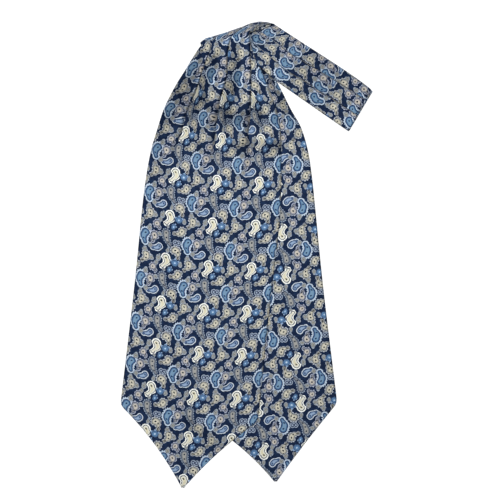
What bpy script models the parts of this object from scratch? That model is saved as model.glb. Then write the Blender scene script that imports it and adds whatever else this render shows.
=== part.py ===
# Silk cravat, folded in half at its neck and laid flat on a surface.
# X runs to the right, Y towards the neck and Z up. The tables are in millimetres.

import math
from collections import namedtuple

import bmesh
import bpy
import numpy as np

MM = 0.001

# Driving dimensions
LAID_WIDTH = 278.0
LAID_LENGTH = 512.0
WALL = 1.2
BAND_WALL = 1.5
GAP = 0.3
NECK_RISE = 3.3
ROLL_REACH = 3.6
ROLL_CREST = 1.4
FRONT_TIP_INSETS = (4.6, 3.4)
BACK_TIP_INSETS = (4.8, 1.0)
TIP_END = 3.0
LEFT_INWARD = np.array([0.75, 0.66])
RIGHT_INWARD = np.array([-0.65, 0.76])

# Where the back blade thickens towards the neck, and how far in from its edges
GATHER_START = 105.0
GATHER_LENGTH = 85.0
GATHER_EDGE = 14.0

# Heights of the stack at the neck
LOWER_STRAND = WALL + NECK_RISE + GAP
UPPER_STRAND = LOWER_STRAND + BAND_WALL + GAP
STACK_TOP = UPPER_STRAND + BAND_WALL

# Fold line of the front blade over the neckband, from its left end to the neckband's upper edge
FoldPoint = namedtuple("FoldPoint", "x y")
FOLD_LINE = [
    FoldPoint(-51.0, 232.8),
    FoldPoint(-45.6, 237.3),
    FoldPoint(-24.0, 243.6),
    FoldPoint(-13.1, 247.4),
    FoldPoint(-3.9, 250.6),
    FoldPoint(5.2, 254.4),
    FoldPoint(14.3, LAID_LENGTH / 2),
    FoldPoint(23.4, 255.2),
    FoldPoint(32.5, 252.7),
]
INWARD = np.array([0.351, -0.936])

# Rows of cloth round the fold line, from the seam inside it to its other side. The angle is -90 beneath and
# 90 on top, the ends are shares of the fold line, and the inset is the distance in from it.
Roll = namedtuple("Roll", "angle left_end right_end inset")
FRONT_ROLL = [
    Roll(-90, 0.0, 0.780, 9.0),
    Roll(-90, 0.0, 0.895, 3.6),
    Roll(-55, 0.0, 0.920, 3.6),
    Roll(-20, 0.0, 0.930, 3.6),
    Roll(15, 0.0, 0.880, 3.6),
    Roll(50, 0.0, 0.770, 3.6),
    Roll(75, 0.0, 0.690, 3.6),
]
BACK_ROLL = [
    Roll(90, 0.36, 0.780, 9.0),
    Roll(90, 0.36, 0.780, 6.1),
    Roll(55, 0.33, 0.784, 6.1),
    Roll(20, 0.30, 0.788, 6.1),
    Roll(-15, 0.27, 0.792, 6.1),
    Roll(-50, 0.24, 0.796, 6.1),
    Roll(-75, 0.21, 0.800, 6.1),
]

# Stations down a blade. fold3, fold2 and fold1 are the pleats from left to right, each lapping over the
# cloth on its right. A crest is the height of the cloth that ends at that pleat, lap is 1 where the pleat
# is closed and 0 where it has opened, and lift is the height above what lies beneath.
Station = namedtuple(
    "Station",
    "left_x left_y fold3 fold2 fold1 right_x right_y sag crest_a crest_b crest_c crest_d lap lift",
)
FRONT_STATIONS = [
    Station(-50.0, 229.5, -38.5, -17.0, 2.3, 3.4, 246.0, 0.0, 1.2, 1.5, 1.7, 0.1, 1.00, 4.2),
    Station(-54.2, 224.0, -39.8, -20.4, 3.2, 4.5, 232.0, 0.0, 1.8, 2.2, 2.4, 0.2, 1.00, 3.2),
    Station(-61.0, 213.5, -45.0, -21.7, 4.1, 10.5, 214.0, -1.0, 2.4, 2.6, 2.8, 0.6, 1.00, 1.6),
    Station(-67.5, 203.0, -49.3, -21.9, 4.3, 18.7, 197.5, -2.0, 3.0, 3.0, 3.1, 1.0, 1.00, 0.6),
    Station(-75.9, 190.0, -52.8, -24.2, 4.4, 24.0, 184.0, -3.0, 3.7, 3.4, 3.5, 1.5, 0.92, 0.1),
    Station(-84.2, 175.0, -56.7, -27.5, 3.9, 29.5, 169.5, -3.8, 4.2, 3.8, 3.7, 2.0, 0.75, 0.0),
    Station(-91.9, 158.5, -63.3, -29.7, 3.9, 34.7, 153.0, -4.0, 3.8, 3.1, 3.2, 1.8, 0.45, 0.0),
    Station(-97.9, 139.7, -68.8, -32.5, 3.9, 37.7, 133.0, -3.8, 2.6, 2.0, 2.2, 1.2, 0.20, 0.0),
    Station(-104.3, 118.8, -75.4, -33.6, 6.1, 38.3, 109.5, -3.5, 1.4, 1.0, 1.2, 0.6, 0.05, 0.0),
    Station(-109.8, 91.3, -81.4, -36.3, 8.0, 38.4, 80.3, -3.3, 0.6, 0.4, 0.5, 0.2, 0.00, 0.0),
    Station(-115.0, 51.7, -88.5, -40.9, 6.7, 36.6, 36.5, -3.0, 0.1, 0.1, 0.1, 0.0, 0.00, 0.0),
    Station(-123.8, -36.0, -97.6, -50.7, -3.8, 26.3, -52.0, -3.0, 0.0, 0.0, 0.0, 0.0, 0.00, 0.0),
    Station(-LAID_WIDTH / 2, -165.0, -112.5, -65.0, -17.5, 12.7, -183.0, -3.0, 0.0, 0.0, 0.0, 0.0, 0.00, 0.0),
]
FRONT_TIP = np.array([-70.0, -LAID_LENGTH / 2])

BACK_STATIONS = [
    Station(-43.0, 226.0, -28.0, -12.0, 3.0, 12.5, 238.0, 0.0, 0.5, 0.5, 0.5, 0.4, 1.00, 0.0),
    Station(-47.9, 212.0, -30.0, -9.0, 8.0, 19.3, 217.0, 0.0, 1.0, 1.0, 1.0, 0.6, 0.90, 0.0),
    Station(-58.9, 195.0, -36.0, -9.0, 13.0, 29.2, 199.0, -1.0, 1.2, 1.2, 1.2, 0.8, 0.80, 0.0),
    Station(-68.8, 176.0, -38.0, -8.0, 19.0, 39.7, 179.0, -2.0, 1.2, 1.2, 1.2, 0.8, 0.60, 0.0),
    Station(-75.4, 158.0, -38.0, -6.0, 25.0, 49.0, 160.1, -3.0, 1.0, 1.0, 1.0, 0.7, 0.35, 0.0),
    Station(-79.8, 134.0, -39.0, -2.0, 32.0, 60.0, 140.8, -3.5, 0.6, 0.6, 0.6, 0.4, 0.15, 0.0),
    Station(-80.5, 106.0, -36.0, 4.0, 40.0, 67.7, 115.5, -3.5, 0.3, 0.3, 0.3, 0.2, 0.00, 0.0),
    Station(-78.7, 72.0, -31.0, 16.0, 45.6, 72.1, 86.9, -3.0, 0.0, 0.0, 0.0, 0.0, 0.00, 0.0),
    Station(-74.8, 38.5, -27.5, 19.5, 49.0, 75.4, 56.1, -3.0, 0.0, 0.0, 0.0, 0.0, 0.00, 0.0),
    Station(-65.5, -54.0, -18.0, 29.0, 58.4, 84.7, -36.3, -3.0, 0.0, 0.0, 0.0, 0.0, 0.00, 0.0),
    Station(-50.6, -180.4, -3.5, 43.5, 73.0, 100.1, -162.8, -3.0, 0.0, 0.0, 0.0, 0.0, 0.00, 0.0),
]
BACK_TIP = np.array([31.9, -249.3])

# How a pleat turns down at its edge: as parts of its run and of its crest, closed at the neck, open below
Turn = namedtuple("Turn", "closed_run closed_height open_run open_height")
PLEAT_TURN = [
    Turn(0.00, 1.00, 0.00, 1.00),
    Turn(0.60, 0.93, 0.25, 0.86),
    Turn(1.65, 0.52, 0.50, 0.50),
    Turn(1.20, 0.20, 0.75, 0.14),
]
Across = namedtuple("Across", "x_top x_under crest")
CLOSED_RUN = 1.4
OPEN_RUN = 13.0
EDGE_RISE = 20.0

# Neckband: corners of its folded end and of the place where it starts to turn into the neck
END_LOW = np.array([112.5, 135.5])
END_HIGH = np.array([LAID_WIDTH / 2, 180.0])
NECK_LOW = np.array([30.0, 192.5])
NECK_HIGH = np.array([61.0, 233.4])
UPPER_NORMAL = np.array([0.55, 0.83])
UPPER_BULGE = 1.8
SeamPoint = namedtuple("SeamPoint", "share along inset")
SEAM = [
    SeamPoint(0.0, 0.36, 9.3),
    SeamPoint(0.5, 0.66, 9.3),
    SeamPoint(0.7, 0.80, 9.3),
    SeamPoint(0.85, 0.885, 4.7),
    SeamPoint(1.0, 1.00, 0.3),
]
BAND_ON_FLOOR = 45.0
BAND_CLIMB = 60.0
NECK_TURN = 60.0

# Lengthwise pleats of the neckband, from its lower edge up: where each strip ends as shares of the band's
# width at the folded end and at the neck, and how high its lower edge stands where it laps the strip below
Strip = namedtuple("Strip", "fold_end neck_end crest")
STRIPS = [
    Strip(0.38, 0.31, 0.0),
    Strip(0.74, 0.655, 0.6),
    Strip(1.00, 1.00, 0.6),
]
STRIP_STEP = 0.008
STRIP_FADE = 5.0
STRIP_NECK_FADE = 0.75

# How softly the front blade comes down over an edge beneath it
EDGE_MARGIN = 9.0
BACK_RAMP = 18.0
BAND_RAMP = 80.0
SOFT_JOIN = 2.0

# Part of a pleat's height that is hollow beneath once it has opened
HOLLOW_SHARE = 0.85

# Mesh steps: between stations down each blade, across its four panels, and along and across the neckband
FRONT_STEPS = (2, 3, 3, 3, 3, 3, 3, 2, 2, 2, 4, 5)
FRONT_COLUMNS = (6, 7, 7, 5)
BACK_STEPS = (2, 2, 2, 2, 2, 2, 2, 2, 3, 4)
BACK_COLUMNS = (4, 5, 4, 4)
TIP_STEPS = 7
BAND_RUN = (0.0, 0.06, 0.15, 0.25, 0.4, 0.5, 0.6, 0.7, 0.8, 0.9, 1.0)
STRIP_COLUMNS = 3
BAND_FOLD_ANGLES = (-60, -30, 0, 30, 60)
NECK_STEPS = 4


def ease(t):
    """Soft step from 0 to 1."""
    t = np.clip(t, 0.0, 1.0)
    return t * t * (3.0 - 2.0 * t)


def between(stations, steps):
    """Stations with smooth ones put between them, steps to each interval."""
    values = np.array(stations)
    last = len(values) - 1
    rows = []
    for k in range(last):
        before = values[max(k - 1, 0)]
        start = values[k]
        end = values[k + 1]
        after = values[min(k + 2, last)]
        for i in range(steps[k]):
            t = i / steps[k]
            swing = (end - before) * (t - 2 * t * t + t ** 3) + (after - start) * (t ** 3 - t * t)
            rows.append(start + (end - start) * ease(t) + 0.5 * swing)
    rows.append(values[last])
    return [Station(*row) for row in rows]


def fold_point(share):
    """Point of the fold line, from its left end at 0 to its right end at 1."""
    x = FOLD_LINE[0].x + share * (FOLD_LINE[-1].x - FOLD_LINE[0].x)
    y = np.interp(x, [p.x for p in FOLD_LINE], [p.y for p in FOLD_LINE])
    return np.array([x, y])


def seam_value(share, column):
    """Value of the seam table at a share of the neckband's width."""
    return np.interp(share, [p.share for p in SEAM], [getattr(p, column) for p in SEAM])


def inside_back(x, y):
    """Distance from a point in to the nearest long edge of the back blade, negative outside it."""
    rows = BACK_STATIONS[::-1]
    left = np.interp(y, [BACK_TIP[1]] + [r.left_y for r in rows], [BACK_TIP[0]] + [r.left_x for r in rows])
    right = np.interp(y, [BACK_TIP[1]] + [r.right_y for r in rows], [BACK_TIP[0]] + [r.right_x for r in rows])
    return min(x - left, right - x)


def back_top(x, y):
    """Height of the back blade, which is gathered thick at the neck and thin at its edges."""
    gathered = ease((y - GATHER_START) / GATHER_LENGTH)
    return WALL + NECK_RISE * gathered * ease(inside_back(x, y) / GATHER_EDGE)


def support(x, y):
    """Height on which the front blade lies: the surface, the back blade or the neckband."""
    over_back = ease((inside_back(x, y) + EDGE_MARGIN + BACK_RAMP) / BACK_RAMP)
    on_back = (back_top(x, y) + GAP) * over_back
    along = (NECK_LOW - END_LOW) / np.linalg.norm(NECK_LOW - END_LOW)
    across = (x - NECK_LOW[0]) * along[1] - (y - NECK_LOW[1]) * along[0]
    on_band = (STACK_TOP + GAP) * ease((across + EDGE_MARGIN + BAND_RAMP) / BAND_RAMP)
    soft = min(SOFT_JOIN, on_back, on_band)
    blend = max(soft - abs(on_back - on_band), 0.0) ** 2 / (4.0 * soft) if soft > 0.0 else 0.0
    return max(on_back, on_band) + blend


def across_blade(row, columns):
    """Points across a blade, with their place on top and beneath and the height of the pleats."""
    edges = (row.left_x, row.fold3, row.fold2, row.fold1, row.right_x)
    crests = (row.crest_a, row.crest_b, row.crest_c, row.crest_d)
    lap = min(max(row.lap, 0.0), 1.0)
    turn_run = CLOSED_RUN + (OPEN_RUN - CLOSED_RUN) * (1.0 - lap) ** 1.5
    rise_run = 8.0 + 8.0 * (1.0 - lap)
    points = []
    for k in range(4):
        start = edges[k]
        last = k == 3
        turn_width = 0.0 if last else min(turn_run, 0.4 * (edges[k + 1] - start))
        end = edges[k + 1] - turn_width
        run = EDGE_RISE if k == 0 else rise_run
        for i in range(columns[k]):
            x = start + (end - start) * i / columns[k]
            points.append(Across(x, x, max(crests[k], 0.0) * ease((x - start) / run)))
        crest = max(crests[k], 0.0) * ease((end - start) / run)
        if last:
            points.append(Across(end, end, crest))
            continue
        for turn in PLEAT_TURN:
            part = turn.open_run + (turn.closed_run - turn.open_run) * lap
            height = turn.open_height + (turn.closed_height - turn.open_height) * lap
            points.append(Across(end + turn_width * part, end + turn_width * turn.open_run, crest * height))
    return points


def place(row, x):
    """Y of a point across a blade."""
    share = (x - row.left_x) / (row.right_x - row.left_x)
    return row.left_y + (row.right_y - row.left_y) * share + row.sag * 4.0 * share * (1.0 - share)


def tip_rows(corner, tip, insets, steps):
    """Rows from a blade's corners to its tip, whose sides are a little hollow."""
    half = np.array([TIP_END / 2, 0.0])
    left = np.array([corner.left_x, corner.left_y])
    right = np.array([corner.right_x, corner.right_y])
    width = corner.right_x - corner.left_x
    rows = []
    for i in range(1, steps + 1):
        t = i / steps
        hollow = 4.0 * t * (1.0 - t)
        a = left + (tip - half - left) * t + LEFT_INWARD * insets[0] * hollow
        b = right + (tip + half - right) * t + RIGHT_INWARD * insets[1] * hollow
        folds = [a[0] + (b[0] - a[0]) * (fold - corner.left_x) / width for fold in corner[2:5]]
        rows.append(corner._replace(left_x=a[0], left_y=a[1], right_x=b[0], right_y=b[1], fold3=folds[0],
                                    fold2=folds[1], fold1=folds[2], sag=corner.sag * (1.0 - t)))
    return rows


def loft(name, outer_rows, inner_rows, material):
    """Closed wall through rows of outer and inner points."""
    mesh = bmesh.new()
    rings = []
    for outer, inner in zip(outer_rows, inner_rows):
        ring = [mesh.verts.new(np.array(p) * MM) for p in list(outer) + list(inner)[::-1]]
        rings.append(ring)
    count = len(rings[0])
    for ring, following in zip(rings, rings[1:]):
        for i in range(count):
            j = (i + 1) % count
            mesh.faces.new((ring[i], following[i], following[j], ring[j]))
    for i in range(count // 2 - 1):
        corners = (i, i + 1, count - 2 - i, count - 1 - i)
        mesh.faces.new([rings[0][c] for c in corners])
        mesh.faces.new([rings[-1][c] for c in reversed(corners)])
    if mesh.calc_volume(signed=True) < 0.0:
        bmesh.ops.reverse_faces(mesh, faces=mesh.faces)
    data = bpy.data.meshes.new(name)
    mesh.to_mesh(data)
    mesh.free()
    data.shade_smooth()
    data.set_sharp_from_angle(angle=math.radians(50))
    data.materials.append(material)
    piece = bpy.data.objects.new(name, data)
    bpy.context.collection.objects.link(piece)
    return piece


def silk(name, colour):
    """Printed silk of one mean colour."""
    material = bpy.data.materials.new(name)
    material.use_nodes = True
    shader = material.node_tree.nodes["Principled BSDF"]
    shader.inputs["Base Color"].default_value = (*colour, 1.0)
    shader.inputs["Roughness"].default_value = 0.45
    shader.inputs["Metallic"].default_value = 0.0
    return material


def roll(turns, neck, highs, lows, wall, steepens):
    """Outer and inner rows of cloth rolled round the fold line, its pleats rising as the angle steepens."""
    first = neck[0].x_under
    width = neck[-1].x_under - first
    outer_rows = []
    inner_rows = []
    for turn in turns:
        reach = math.cos(math.radians(turn.angle))
        climb = math.sin(math.radians(turn.angle))
        relief = ease((steepens * turn.angle - 15.0) / 75.0)
        outer = []
        inner = []
        for i, point in enumerate(neck):
            share = relief * (point.x_under - first) / width + (1.0 - relief) * i / (len(neck) - 1)
            edge = fold_point(turn.left_end + (turn.right_end - turn.left_end) * share)
            base = turns[-1].inset
            inset = base + (turn.inset - base) * (0.2 + 0.8 * ease(share / 0.4))
            high = highs[i] + (1.0 - relief) * (ROLL_CREST - point.crest)
            middle = (high + lows[i]) / 2
            half = (high - lows[i]) / 2
            out = edge + INWARD * (inset - ROLL_REACH * reach)
            back = edge + INWARD * (inset - (ROLL_REACH - wall) * reach)
            outer.append((*out, middle + half * climb))
            inner.append((*back, middle + (half - wall) * climb))
        outer_rows.append(outer)
        inner_rows.append(inner)
    return outer_rows, inner_rows


def front_blade():
    """Front blade, rolled over the neckband and pleated at the neck."""
    rows = between(FRONT_STATIONS, FRONT_STEPS)
    rows += tip_rows(rows[-1], FRONT_TIP, FRONT_TIP_INSETS, TIP_STEPS)
    tops = []
    unders = []
    for row in rows:
        top = []
        under = []
        hollow = HOLLOW_SHARE * ease((0.7 - row.lap) / 0.5)
        for point in across_blade(row, FRONT_COLUMNS):
            y_top = place(row, point.x_top)
            y_under = place(row, point.x_under)
            lift = max(row.lift, 0.0)
            high = support(point.x_top, y_top) + lift + WALL + point.crest
            low = support(point.x_under, y_under) + lift + hollow * point.crest
            top.append((point.x_top, y_top, high))
            under.append((point.x_under, y_under, low))
        tops.append(top)
        unders.append(under)
    neck = across_blade(rows[0], FRONT_COLUMNS)
    highs = [z for x, y, z in tops[0]]
    lows = [UPPER_STRAND - 2.0 * (1.0 - ease(i / len(neck) / 0.15)) for i in range(len(neck))]
    roll_outer, roll_inner = roll(FRONT_ROLL, neck, highs, lows, WALL, 1)
    loft("front_blade", roll_outer + tops, roll_inner + unders, silk("front_silk", (0.13, 0.16, 0.22)))


def back_blade():
    """Back blade, flat beneath, its gathered neck rolled up to meet the lower strand."""
    rows = between(BACK_STATIONS, BACK_STEPS)
    rows += tip_rows(rows[-1], BACK_TIP, BACK_TIP_INSETS, TIP_STEPS)
    tops = []
    unders = []
    for row in rows:
        top = []
        under = []
        gathered = max(row.crest_a, row.crest_b, row.crest_c, 0.0)
        for point in across_blade(row, BACK_COLUMNS):
            y = place(row, point.x_under)
            high = back_top(point.x_under, y) - gathered + point.crest
            top.append((point.x_top, place(row, point.x_top), max(high, WALL)))
            under.append((point.x_under, y, 0.0))
        tops.append(top)
        unders.append(under)
    neck = [point._replace(crest=ROLL_CREST) for point in across_blade(rows[0], BACK_COLUMNS)]
    highs = [UPPER_STRAND - GAP for point in neck]
    lows = [0.0 for point in neck]
    roll_outer, roll_inner = roll(BACK_ROLL, neck, highs, lows, BAND_WALL, -1)
    loft("back_blade", roll_outer + unders, roll_inner + tops, silk("back_silk", (0.12, 0.15, 0.20)))


def across_band(t):
    """Places across the neckband as shares of its width and heights of its pleats, t from fold to neck."""
    columns = []
    start = 0.0
    for strip in STRIPS:
        end = strip.fold_end + (strip.neck_end - strip.fold_end) * t
        for i in range(STRIP_COLUMNS + 1):
            part = i / STRIP_COLUMNS
            columns.append((start + (end - start) * part, strip.crest * (1.0 - ease(part))))
        start = end + STRIP_STEP
    return columns


def band_plan():
    """Lines across the neckband, from its folded end to its seam: distance along it, points and crests."""
    length = np.linalg.norm(NECK_LOW - END_LOW)
    lines = []
    for t in BAND_RUN:
        low = END_LOW + (NECK_LOW - END_LOW) * t
        bulge = UPPER_BULGE * math.sin(math.pi * t ** 0.6)
        high = END_HIGH + (NECK_HIGH - END_HIGH) * t + UPPER_NORMAL * bulge
        fade = ease(t * length / STRIP_FADE)
        columns = across_band(t)
        points = [low + (high - low) * share for share, crest in columns]
        lines.append((t * length, points, [crest * fade for share, crest in columns]))
    last = lines[-1][1]
    seam = [fold_point(seam_value(share, "along")) + INWARD * seam_value(share, "inset")
            for share, crest in across_band(1.0)]
    for step in range(1, NECK_STEPS + 1):
        t = step / NECK_STEPS
        fade = 1.0 - ease(t / STRIP_NECK_FADE)
        points = [a + (b - a) * t for a, b in zip(last, seam)]
        lines.append((length + NECK_TURN * t, points, [crest * fade for share, crest in columns]))
    return lines


def neckband():
    """Neckband, folded double at its right end, its two strands climbing on to the neck."""
    lines = band_plan()
    radius = BAND_WALL + GAP / 2
    outward = (END_LOW - NECK_LOW) / np.linalg.norm(END_LOW - NECK_LOW)
    lines[0] = (0.0, [point - outward * radius for point in lines[0][1]], lines[0][2])
    lower = []
    upper = []
    for distance, line, crests in lines:
        low = LOWER_STRAND * ease((distance - BAND_ON_FLOOR) / BAND_CLIMB)
        high = low + BAND_WALL + GAP
        lower.append(([(*p, low) for p in line], [(*p, low + BAND_WALL) for p in line]))
        top = [(*p, high + BAND_WALL + crest) for p, crest in zip(line, crests)]
        upper.append((top, [(*p, high) for p in line]))
    fold = []
    for angle in BAND_FOLD_ANGLES:
        reach = outward * math.cos(math.radians(angle))
        climb = math.sin(math.radians(angle))
        outer = [(*(p + reach * radius), radius + radius * climb) for p in lines[0][1]]
        inner = [(*(p + reach * GAP / 2), radius + GAP / 2 * climb) for p in lines[0][1]]
        fold.append((outer, inner))
    sections = lower[::-1] + fold + upper
    outer_rows = [outer for outer, inner in sections]
    inner_rows = [inner for outer, inner in sections]
    loft("neckband", outer_rows, inner_rows, silk("band_silk", (0.14, 0.17, 0.23)))


for old in list(bpy.data.objects):
    bpy.data.objects.remove(old)

front_blade()
back_blade()
neckband()
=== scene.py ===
# Silk cravat, folded in half at its neck and laid flat on a white surface.
# The tables of the cloth's shape are in millimetres: X to the right, Y towards the neck, Z up.

import math
from collections import namedtuple

import bpy
import numpy as np
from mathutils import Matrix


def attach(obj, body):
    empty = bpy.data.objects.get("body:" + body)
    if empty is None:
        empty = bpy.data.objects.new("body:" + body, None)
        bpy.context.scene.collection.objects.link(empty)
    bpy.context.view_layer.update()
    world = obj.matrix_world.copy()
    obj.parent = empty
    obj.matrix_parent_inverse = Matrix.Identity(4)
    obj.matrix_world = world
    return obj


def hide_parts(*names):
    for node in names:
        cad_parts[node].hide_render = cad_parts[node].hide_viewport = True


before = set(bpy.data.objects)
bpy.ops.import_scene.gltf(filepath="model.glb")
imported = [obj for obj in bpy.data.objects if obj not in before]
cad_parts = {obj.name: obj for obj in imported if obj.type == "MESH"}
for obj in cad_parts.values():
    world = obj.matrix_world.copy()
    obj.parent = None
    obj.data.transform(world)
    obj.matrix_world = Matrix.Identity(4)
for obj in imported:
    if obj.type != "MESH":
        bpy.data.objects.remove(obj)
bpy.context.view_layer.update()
bpy.ops.object.select_all(action="DESELECT")
MM = 0.001

# Back blade.
# One of the cravat's two wide pointed ends, of printed silk twill, its edges turned in and pressed. It lies
# flat beneath the other end, and its pleated neck rolls up to the band's lower strand.
CLOTH_WALL = 1.2
BAND_WALL = 1.5
GAP = 0.3
NECK_RISE = 3.3
LOWER_STRAND = CLOTH_WALL + NECK_RISE + GAP
UPPER_STRAND = LOWER_STRAND + BAND_WALL + GAP
STACK_TOP = UPPER_STRAND + BAND_WALL
HEM_ROUND = 0.5
TIP_END = 3.0
LEFT_INWARD = np.array([0.75, 0.66])
RIGHT_INWARD = np.array([-0.65, 0.76])

# Stations down a blade. fold3, fold2 and fold1 are its pleats from left to right, each lapping over the cloth
# on its right. A crest is the height of the cloth that ends at that pleat, lap is 1 where the pleat is closed
# and 0 where it has opened, lift is the height above what lies beneath, and hidden is the cloth in a lap.
Station = namedtuple(
    "Station",
    "left_x left_y fold3 fold2 fold1 right_x right_y sag crest_a crest_b crest_c crest_d lap lift"
    " hidden3 hidden2 hidden1",
)
BACK_STATIONS = [
    Station(-43.0, 226.0, -28.0, -12.0, 3.0, 12.5, 238.0, 0.0, 0.5, 0.5, 0.5, 0.4, 1.00, 0, 30, 28, 25),
    Station(-47.9, 212.0, -30.0, -9.0, 8.0, 19.3, 217.0, 0.0, 1.0, 1.0, 1.0, 0.6, 0.90, 0, 24, 24, 20),
    Station(-58.9, 195.0, -36.0, -9.0, 13.0, 29.2, 199.0, -1.0, 1.2, 1.2, 1.2, 0.8, 0.80, 0, 16, 16, 14),
    Station(-68.8, 176.0, -38.0, -8.0, 19.0, 39.7, 179.0, -2.0, 1.2, 1.2, 1.2, 0.8, 0.60, 0, 10, 10, 9),
    Station(-75.4, 158.0, -38.0, -6.0, 25.0, 49.0, 160.1, -3.0, 1.0, 1.0, 1.0, 0.7, 0.35, 0, 6, 6, 5),
    Station(-79.8, 134.0, -39.0, -2.0, 32.0, 60.0, 140.8, -3.5, 0.6, 0.6, 0.6, 0.4, 0.15, 0, 3, 3, 3),
    Station(-80.5, 106.0, -36.0, 4.0, 40.0, 67.7, 115.5, -3.5, 0.3, 0.3, 0.3, 0.2, 0.00, 0, 1, 1, 1),
    Station(-78.7, 72.0, -31.0, 16.0, 45.6, 72.1, 86.9, -3.0, 0.0, 0.0, 0.0, 0.0, 0.00, 0, 0, 0, 0),
    Station(-74.8, 38.5, -27.5, 19.5, 49.0, 75.4, 56.1, -3.0, 0.0, 0.0, 0.0, 0.0, 0.00, 0, 0, 0, 0),
    Station(-65.5, -54.0, -18.0, 29.0, 58.4, 84.7, -36.3, -3.0, 0.0, 0.0, 0.0, 0.0, 0.00, 0, 0, 0, 0),
    Station(-50.6, -180.4, -3.5, 43.5, 73.0, 100.1, -162.8, -3.0, 0.0, 0.0, 0.0, 0.0, 0.00, 0, 0, 0, 0),
]
BACK_TIP = np.array([31.9, -249.3])
BACK_TIP_INSETS = (4.8, 1.0)
BACK_STEPS = (5, 5, 5, 5, 5, 4, 4, 4, 6, 8)
BACK_COLUMNS = (9, 10, 9, 8)
TIP_STEPS = 14

# The print on the back blade runs the other way up. Place of one cream paisley, from its left corner, and
# how far the rows of the print bow.
BACK_CREAM = (112.3, 3.9)
BACK_BOW = 0.0

# How a pleat turns down and under at its edge: as parts of its run and of its crest, closed and open,
# with the part of the hidden cloth that is out of sight by then
Turn = namedtuple("Turn", "closed_run closed_height open_run open_height hidden")
PLEAT_TURN = [
    Turn(0.00, 1.00, 0.00, 1.00, 0.00),
    Turn(0.50, 0.98, 0.12, 0.97, 0.00),
    Turn(1.05, 0.88, 0.24, 0.88, 0.01),
    Turn(1.50, 0.70, 0.36, 0.72, 0.02),
    Turn(1.65, 0.52, 0.50, 0.50, 0.10),
    Turn(1.50, 0.36, 0.62, 0.30, 0.30),
    Turn(1.05, 0.24, 0.74, 0.14, 0.60),
    Turn(0.55, 0.15, 0.86, 0.05, 0.85),
]
Across = namedtuple("Across", "x_top x_under crest u")

# Run of that turn in a closed and in an open pleat, and the widest it may be as a share of the cloth before it
CLOSED_RUN = 1.4
OPEN_RUN = 13.0
WIDEST_TURN = 0.4

# How far the cloth takes to rise from the blade's edge and from a pleat, how fast each pleat lets its hidden
# cloth out as it opens, and over what run that cloth then spreads
EDGE_RISE = 20.0
PLEAT_RISE = 18.0
OPENS = (6.0, 1.5, 1.0)
SLACK_RUN = 8.0
SLACK_SPREAD = 16.0

# Where the back blade thickens towards the neck, and how far in from its edges
GATHER_START = 105.0
GATHER_LENGTH = 85.0
GATHER_EDGE = 14.0

# Pocket beside the front blade's last pleat, into which the band and the back blade sink
POCKET_X = 10.0
POCKET_Y = 235.0
POCKET_WIDE = 6.0
POCKET_LONG = 12.0
POCKET_DEPTH = 3.0

# Fold line over the neckband, and the rows of cloth round it. The angle is -90 beneath and 90 on top, the ends
# are shares of the fold line, and the inset is the distance in from it.
FOLD_X = (-51.0, -45.6, -24.0, -13.1, -3.9, 5.2, 14.3, 23.4, 32.5)
FOLD_Y = (232.8, 237.3, 243.6, 247.4, 250.6, 254.4, 256.0, 255.2, 252.7)
INWARD = np.array([0.351, -0.936])
ALONG_FOLD = np.array([0.936, 0.351, 0.0])
FAN_FROM = 0.6
ROLL_REACH = 3.6
ROLL_CREST = 1.4
ROLL_STEPS = 3
LAPS_AT_ANGLE = 15.0
LAPS_WHOLE_ANGLE = 90.0
CORNER_INSET = 0.2
CORNER_SHARE = 0.4
Roll = namedtuple("Roll", "angle left_end right_end inset")
BACK_ROLL = [
    Roll(90, 0.36, 0.780, 9.0),
    Roll(90, 0.36, 0.780, 6.1),
    Roll(55, 0.33, 0.784, 6.1),
    Roll(20, 0.30, 0.788, 6.1),
    Roll(-15, 0.27, 0.792, 6.1),
    Roll(-50, 0.24, 0.796, 6.1),
    Roll(-75, 0.21, 0.800, 6.1),
]


def ease(t):
    """Soft step from 0 to 1."""
    t = np.clip(t, 0.0, 1.0)
    return t * t * (3.0 - 2.0 * t)


def between(stations, steps):
    """Stations with others put between them on a smooth curve, steps to each interval."""
    values = np.array(stations)
    last = len(values) - 1
    rows = []
    for k in range(last):
        before = values[max(k - 1, 0)]
        start = values[k]
        end = values[k + 1]
        after = values[min(k + 2, last)]
        for i in range(steps[k]):
            t = i / steps[k]
            swing = (end - before) * (t - 2 * t * t + t ** 3) + (after - start) * (t ** 3 - t * t)
            rows.append(start + (end - start) * ease(t) + 0.5 * swing)
    rows.append(values[last])
    return [Station(*row) for row in rows]


def tip_rows(corner, tip, insets, steps):
    """Rows from a blade's corners to its tip, whose sides are a little hollow."""
    half = np.array([TIP_END / 2, 0.0])
    left = np.array([corner.left_x, corner.left_y])
    right = np.array([corner.right_x, corner.right_y])
    width = corner.right_x - corner.left_x
    rows = []
    for i in range(1, steps + 1):
        t = i / steps
        hollow = 4.0 * t * (1.0 - t)
        a = left + (tip - half - left) * t + LEFT_INWARD * insets[0] * hollow
        b = right + (tip + half - right) * t + RIGHT_INWARD * insets[1] * hollow
        folds = [a[0] + (b[0] - a[0]) * (fold - corner.left_x) / width for fold in corner[2:5]]
        rows.append(corner._replace(left_x=a[0], left_y=a[1], right_x=b[0], right_y=b[1], fold3=folds[0],
                                    fold2=folds[1], fold1=folds[2], sag=corner.sag * (1.0 - t)))
    return rows


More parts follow.
